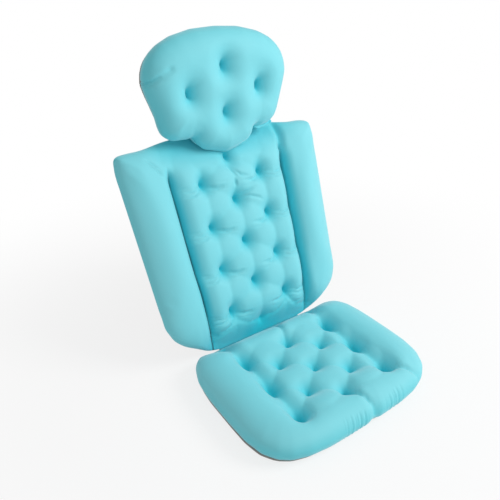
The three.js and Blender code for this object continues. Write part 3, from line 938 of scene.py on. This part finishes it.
backPuff = {
    "reach": (0.062, 0.068),
    "inner": 0.98,
    "middle": 0.96,
    "stripReach": (0.062, 0.095),
    "strip": 1.08,
    "valley": 0.55,
    "seamEase": 0.004,
}
backPad = settle({
    "cover": "back_cover",
    "fillings": ["back_filling", "left_bolster_filling", "right_bolster_filling"],
    "ties": "back_tuft_tie",
    "panel": "back_mesh",
    "mount": "back_suction_cup_1_lip",
    "body": "back",
    "corners": ((0.243, 0.264), -0.185, 0.232),
    "crown": 0.056,
    "side": 0.024,
    "roll": 0.050,
    "tuftReach": 0.034,
    "tuftSlit": 0.006,
    "underRings": 6,
    "seams": (0.140, 0.156),
    "seamFloor": 0.015,
    "seamReach": (0.026, 0.034),
    "seamShort": 0.052,
    "seamFade": 0.050,
    "folds": [
        dict(roll="hinge_roll", way=-1, height=0.012, slope=0.100, fade=0.055, reachOver=0.003),
        dict(roll="neck_roll", way=1, height=0.009, slope=0.110, fade=0.100, reachOver=0),
    ],
    "nicks": [
        dict(at=(-0.192, 0.246), depth=0.004, reach=0.070, way=(0, -1)),
        dict(at=(0.200, 0.246), depth=0.002, reach=0.040, way=(0, -1)),
    ],
    "fuller": [dict(at=(0.115, 0.246), depth=0.007, reach=0.060, way=(0, 1))],
    "foldCalm": 0.85,
    "wrinkles": [
        dict(at=(-0.116, -0.202), angle=20, length=0.085, width=0.034, pitch=0.0075, depth=0.0026),
        dict(at=(0.112, -0.190), angle=4, length=0.080, width=0.052, pitch=0.0085, depth=0.0022),
        dict(at=(-0.184, 0.194), angle=-41, length=0.064, width=0.024, pitch=0.0095, depth=0.0050),
    ],
})

backColumn = backPad["tufts"][:, 0].max()
backRows = np.unique(backPad["tufts"][:, 1].round(4))
for row, y in enumerate(backRows):
    for side in (-1, 1):
        if row % 2:
            backPad["puffs"].append((side * backColumn / 3, y, *backPuff["reach"], backPuff["inner"]))
            continue
        strip = (backColumn + seamAt(backPad, y)) / 2
        backPad["puffs"].append((side * backColumn * 2 / 3, y, *backPuff["reach"], backPuff["middle"]))
        backPad["puffs"].append((side * strip, y, *backPuff["stripReach"], backPuff["strip"]))


def besideBackField(points):
    out = np.abs(points[:, 0]) - seamAt(backPad, points[:, 1])
    over = smooth(backRows[-2], backRows[-1], points[:, 1])
    bolster = smooth(-backPuff["seamEase"], backPuff["seamEase"], out)
    return mix(backPuff["valley"], 1, np.maximum(bolster, over))


backPad["beside"] = besideBackField
for side, bend in ((-1, 0.012), (1, 0.020)):           # in the foot, outside and between the lowest tufts
    backPad["creases"] += creaseRun(
        [(side * backColumn, backRows[1] - 0.006), (side * (backColumn + 0.004), -0.190),
         (side * 0.104, -0.192 - bend), (side * 0.134, -0.200 - bend)],
        depth=0.007, reach=0.010, sharp=True)
    backPad["creases"] += creaseRun(
        [(0, backRows[0]), (side * 0.042, -0.208), (side * 0.072, -0.190)],
        depth=0.006, reach=0.010, sharp=True)
backPad["creases"] += creaseRun(                       # the right channel's soft end on the shoulder
    [(0.153, 0.180), (0.159, 0.208), (0.158, 0.240)], depth=0.014, reach=0.016)

# fine folds that the ties draw into the cloth: crescents beside the outer tufts, a star under the top one
backFolds = {
    "crescents": [
        [(0.010, -0.010), (0.030, -0.018), (0.058, -0.019)],
        [(0.014, -0.004), (0.030, -0.009), (0.056, -0.007)],
        [(-0.012, -0.010), (-0.030, -0.016), (-0.052, -0.013)],
    ],
    "star": [
        [(-0.009, 0.168), (0, 0.148), (0.009, 0.132)],
        [(-0.002, 0.157), (0.017, 0.137), (0.041, 0.130)],
        [(0.004, 0.091), (0.025, 0.096), (0.048, 0.103)],
        [(0.006, 0.084), (0.029, 0.085), (0.051, 0.077), (0.066, 0.067)],
        [(0.001, 0.132), (0.002, 0.112)],
    ],
    "depth": 0.0044,
    "reach": 0.0058,
    "ends": (0.05, 0.95),
}
tuftGathers = dict(length=0.066, width=0.028, pitch=0.0078, depth=0.0028)
gatherPlaces = ((0.034, 0.004), (-0.034, 0.014))       # out from an outer tuft, and down
gatherAngle = 4
for tuft in backPad["tufts"]:
    if tuft[0]:
        side = math.copysign(1, tuft[0])
        for run in backFolds["crescents"]:
            backPad["lines"].append([(tuft[0] + side * x, tuft[1] + y) for x, y in run])
        for out, down in gatherPlaces:
            place = (tuft[0] + side * out, tuft[1] - down)
            backPad["wrinkles"].append(dict(at=place, angle=side * gatherAngle, **tuftGathers))
backPad["lines"] += backFolds["star"]
backPad["line"] = backFolds

# Head

headPad = settle({
    "cover": "head_cover",
    "fillings": ["head_filling"],
    "ties": "head_tuft_tie",
    "panel": "head_mesh",
    "mount": "head_suction_cup_1_lip",
    "body": "head",
    "spacing": 0.0034,
    "corners": ((0.136, 0.128), -0.097, 0.085),
    "crown": 0.088,
    "side": 0.044,
    "roll": 0.062,
    "tuftReach": 0.052,
    "tuftSlit": 0.008,
    "tuftDrop": -0.008,
    "underRings": 8,
    "panelShift": (-0.004, 0),
    "nicks": [
        dict(at=(-0.083, -0.112), depth=0.006, reach=0.014, way=(0.35, 0.94)),
        dict(at=(0.083, -0.112), depth=0.008, reach=0.016, way=(-0.35, 0.94)),
    ],
    "fuller": [dict(at=(-0.138, -0.094), depth=0.007, reach=0.050, way=(-0.7, -0.7))],
    "fill": 0.85,
    "wrinkles": [
        dict(at=(-0.168, 0.019), angle=34, length=0.050, width=0.012, pitch=0.013, depth=0.0045),
    ],
})

headPad["creases"] += creaseRun([(-0.180, 0.010), (-0.152, 0.029)], depth=0.014, reach=0.010, sharp=True)
headPad["creases"] += creaseRun([(-0.152, 0.029), (-0.130, 0.042)], depth=0.006, reach=0.012)
headPad["creases"] += creaseRun([(-0.080, -0.110), (-0.073, -0.098)], depth=0.012, reach=0.011, sharp=True)
headPad["creases"] += creaseRun([(0.080, -0.110), (0.073, -0.098)], depth=0.014, reach=0.011, sharp=True)

for name, pad in {"seat_cushion": seatPad, "back_cushion": backPad, "head_cushion": headPad}.items():
    pad["cushion"] = makePad(name, pad).name


# Panels under the pads: rear face drawn in a little at each tuft, round rims

panel = {
    "spacing": 0.008,
    "drawDepth": 0.0022,
    "drawReach": 0.011,
    "rimRound": 0.0025,
    "rimTurns": (-60, -30, 0, 30, 60),
}


def panelSkin(pad):
    levels = toLocal(pad["basis"], nodePoints(pad["panel"]))[:, 2]
    thickness = levels.max() - levels.min()
    outline = outlineOf(pad["panel"], pad["basis"], pad["centre"]) + np.array(pad["panelShift"])
    nickOutline(outline, pad["nicks"])
    plan = skinGrid({**pad, "outline": outline, "spacing": panel["spacing"]})
    index = gridIndex(plan)
    loop = gridRim(index)
    spread = plan.reshape(-1, 2)
    rear = panel["drawDepth"] * np.exp(-(tuftGap(pad, spread) / panel["drawReach"]) ** 2)
    inset = pad["centre"] + (spread - pad["centre"]) * (1 - panel["rimRound"] / np.abs(outline).max())
    points = [np.column_stack([inset, rear]), np.column_stack([inset, np.full(len(inset), thickness)])]
    faces = [face[::-1] for face in gridFaces(index)] + gridFaces(index + len(spread))
    count = 2 * len(spread)
    ring = loop
    for turn in panel["rimTurns"]:
        share = math.cos(math.radians(turn))
        place = mix(inset[loop], spread[loop], share)
        level = thickness / 2 * (1 + math.sin(math.radians(turn)))
        points.append(np.column_stack([place, np.full(len(loop), level)]))
        following = np.arange(count, count + len(loop))
        count += len(loop)
        faces += bandFaces(ring, following)
        ring = following
    faces += bandFaces(ring, loop + len(spread))
    return np.concatenate(points), faces, outline


def makePanel(pad, slot):
    points, faces, outline = panelSkin(pad)
    piece = meshObject(pad["panel"] + "_cloth", points, faces, pad["basis"])
    dress(piece, slot, pad["basis"])
    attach(piece, pad["body"])
    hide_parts(pad["panel"])
    width, length = outline.max(0) - outline.min(0)
    after = np.roll(outline, -1, axis=0)
    area = abs((outline[:, 0] * after[:, 1] - outline[:, 1] * after[:, 0]).sum()) / 2
    print("panel", piece.name, "made of", len(faces), "faces")


makePanel(seatPad, "grip_base")
makePanel(backPad, "spacer_mesh")
makePanel(headPad, "spacer_mesh")

# Suction cups: the dish, collar and stem turned about the axis of each cup

cup = {
    "lipRadius": 0.025,
    "lipWall": 0.0006,
    "dishDepth": 0.011,
    "wall": 0.0018,
    "collarRadius": 0.009,
    "collarHeight": 0.004,
    "collarBevel": 0.0008,
    "stemRadius": 0.004,
    "stemHeight": 0.0095,
    "flare": 1.7,
    "steps": 48,
    "curveSteps": 10,
}


def cupProfile():
    lip, lipWall, bevel = cup["lipRadius"], cup["lipWall"], cup["collarBevel"]
    collar, stem, depth = cup["collarRadius"], cup["stemRadius"], cup["dishDepth"]
    top = depth + cup["collarHeight"]
    end = top + cup["stemHeight"]
    dish = [(share, depth * share ** cup["flare"]) for share in np.linspace(0, 1, cup["curveSteps"])]
    inner = [(mix(lip - lipWall, collar, share), max(level - cup["wall"] * share, 0))
             for share, level in dish[::-1]]
    outer = [(mix(lip, collar, share), level + lipWall) for share, level in dish]
    middle = [(collar, top - bevel), (collar - bevel, top), (stem, top), (stem, end), (0, end)]
    return [(0, inner[0][1])] + inner + outer + middle


def makeCup(node, pad):
    spread = toLocal(pad["basis"], nodePoints(node))
    low, high = spread.min(0), spread.max(0)
    basis = pad["basis"] @ Matrix.Translation(((low[0] + high[0]) / 2, (low[1] + high[1]) / 2, low[2]))
    angles = np.arange(cup["steps"]) / cup["steps"] * 2 * math.pi
    points, faces, rings = [], [], []
    for radius, level in cupProfile():
        if radius == 0:
            rings.append([len(points)])
            points.append((0, 0, level))
            continue
        rings.append(list(range(len(points), len(points) + cup["steps"])))
        points += [(radius * math.cos(angle), radius * math.sin(angle), level) for angle in angles]
    for first, second in zip(rings, rings[1:]):
        if len(first) == 1:
            faces += [(first[0], b, a) for a, b in zip(second, second[1:] + second[:1])]
        elif len(second) == 1:
            faces += [(a, b, second[0]) for a, b in zip(first, first[1:] + first[:1])]
        else:
            faces += bandFaces(first, second)
    piece = meshObject(node + "_moulded", np.array(points), faces, basis)
    dress(piece, "silicone")
    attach(piece, pad["body"])
    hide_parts(node)


for pad in (backPad, headPad):
    cups = nodesLike(pad["body"] + "_suction_cup")
    for node in cups:
        makeCup(node, pad)
    print(len(cups), "cups made on the", pad["body"])

# Rolled seams on the two fold lines

roll = {
    "slim": 0.72,
    "tuck": 0.012,
    "around": 20,
    "spacing": 0.004,
    "pucker": 0.0004,
    "puckerPitch": 0.011,
    "unevenness": 31,
    "tip": 0.0001,
    "hollow": 0.6,
}


def makeRoll(node, body):
    low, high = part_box(node)
    radius = (high.z - low.z) / 2 * roll["slim"]
    half = (high.x - low.x) / 2 - roll["tuck"]
    count = round(2 * half / roll["spacing"])
    points, faces, rings = [], [], []
    for step in range(count + 1):
        x = -half + 2 * half * step / count
        cap = math.sqrt(max(1 - max(0, (abs(x) - half + radius) / radius) ** 2, roll["tip"]))
        sway = math.sin(roll["unevenness"] * x)
        gather = roll["pucker"] * math.sin(2 * math.pi * x / roll["puckerPitch"] + sway)
        reach = (radius + gather) * cap
        rings.append(range(len(points), len(points) + roll["around"]))
        for k in range(roll["around"]):
            angle = 2 * math.pi * k / roll["around"]
            points.append((x, reach * math.cos(angle), reach * math.sin(angle)))
    for first, second in zip(rings, rings[1:]):
        faces += bandFaces(first, second)
    faces.append(tuple(rings[0])[::-1])
    faces.append(tuple(rings[-1]))
    basis = Matrix.Translation((low + high) / 2)
    piece = meshObject(node + "_cloth", np.array(points), faces, basis)
    dress(piece, "jersey", basis)
    # painted shade: the whole roll takes this share of the shade colour, as it lies deep in its fold
    addField(piece, "hollow", np.full(len(points), roll["hollow"]))
    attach(piece, body)
    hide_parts(node)


makeRoll("hinge_roll", "seat")
makeRoll("neck_roll", "back")
print("rolled seams made")


# Stage, light and camera

stage = {
    "floorSize": 40,
    "floorDrop": 0.0005,
    "floorTone": (0.93, 0.93, 0.93, 1),
    "floorShade": (0.9, 0.9, 0.9, 1),
    "grainScale": 3,
    "white": (1, 1, 1, 1),
    "whiteNear": 0.78,
    "nearReach": 0.45,
    "farReach": 1.4,
    "worldStrength": 0.5,
    "keyPlace": (1.5, -1.3, 1.8),
    "keyAim": (0, 0.15, 0.25),
    "keySize": 1.3,
    "keyPower": 40,
}


def makeKeyLight():
    light = bpy.data.lights.new("key", "AREA")
    light.shape = "DISK"
    light.size = stage["keySize"]
    light.energy = stage["keyPower"]
    lamp = bpy.data.objects.new("key", light)
    bpy.context.scene.collection.objects.link(lamp)
    lamp.location = stage["keyPlace"]
    way = Vector(stage["keyAim"]) - Vector(stage["keyPlace"])
    lamp.rotation_euler = way.to_track_quat("-Z", "Y").to_euler()


# 1 for the rays that see the background itself or its reflection
def backgroundRays(finish):
    outputs = finish.add("LightPath").socket.node.outputs
    rays = Wire(finish, outputs["Is Camera Ray"]) + Wire(finish, outputs["Is Glossy Ray"])
    rays = rays + Wire(finish, outputs["Is Transmission Ray"])
    return finish.add("Clamp", None, {"Value": rays})


def makeWorld():
    world = bpy.data.worlds.new("studio")
    world.use_nodes = True
    bpy.context.scene.world = world
    finish = Finish(world.node_tree)
    seen = backgroundRays(finish)
    dim = finish.add("Background", None, {"Color": stage["white"], "Strength": stage["worldStrength"]})
    bright = finish.add("Background", None, {"Color": stage["white"], "Strength": 1})
    shown = finish.add("MixShader", None, {0: seen, 1: dim, 2: bright})
    finish.add("OutputWorld", None, {"Surface": shown})


# a floor that keeps the shadow near the pillow and turns white further out
def makeFloor():
    material, finish = newFinish("paleFloor")
    grain = finish.add("TexNoise", None, {"Scale": stage["grainScale"]})
    tone = finish.blendColours(grain, stage["floorTone"], stage["floorShade"])
    matte = finish.add("BsdfDiffuse", None, {"Color": tone})
    glow = finish.add("Emission", None, {"Color": stage["white"], "Strength": 1})
    place = finish.add("TexCoord", output=3)
    away = finish.add("VectorMath", {"operation": "LENGTH"}, {0: place}, output=1)
    white = finish.add("MapRange", {"interpolation_type": "SMOOTHSTEP"}, {
        "Value": away, "From Min": stage["nearReach"], "From Max": stage["farReach"],
        "To Min": stage["whiteNear"], "To Max": 1})
    seen = backgroundRays(finish)
    shown = finish.add("MixShader", None, {0: seen * white, 1: matte, 2: glow})
    finish.add("OutputMaterial", None, {"Surface": shown})
    half = stage["floorSize"] / 2
    corners = np.array([(-half, -half, 0), (half, -half, 0), (half, half, 0), (-half, half, 0)])
    floor = meshObject("floor", corners, [(0, 1, 2, 3)], Matrix.Translation((0, 0, -stage["floorDrop"])))
    floor.data.materials.append(material)

camera = {
    "place": (-0.5912, -0.6158, 0.8013),
    "right": (0.820259, -0.571992, 0),
    "up": (0.278841, 0.399869, 0.873128),
    "lens": 36,
    "sensor": 36,
}


def makeCamera():
    data = bpy.data.cameras.new("camera")
    data.lens = camera["lens"]
    data.sensor_width = camera["sensor"]
    eye = bpy.data.objects.new("camera", data)
    bpy.context.scene.collection.objects.link(eye)
    right, up = Vector(camera["right"]), Vector(camera["up"])
    turn = Matrix((right, up, right.cross(up))).transposed().to_4x4()
    eye.matrix_world = Matrix.Translation(camera["place"]) @ turn
    bpy.context.scene.camera = eye


makeWorld()
makeFloor()
makeKeyLight()
makeCamera()
bpy.context.scene.view_settings.view_transform = "Standard"
print("stage and camera set")
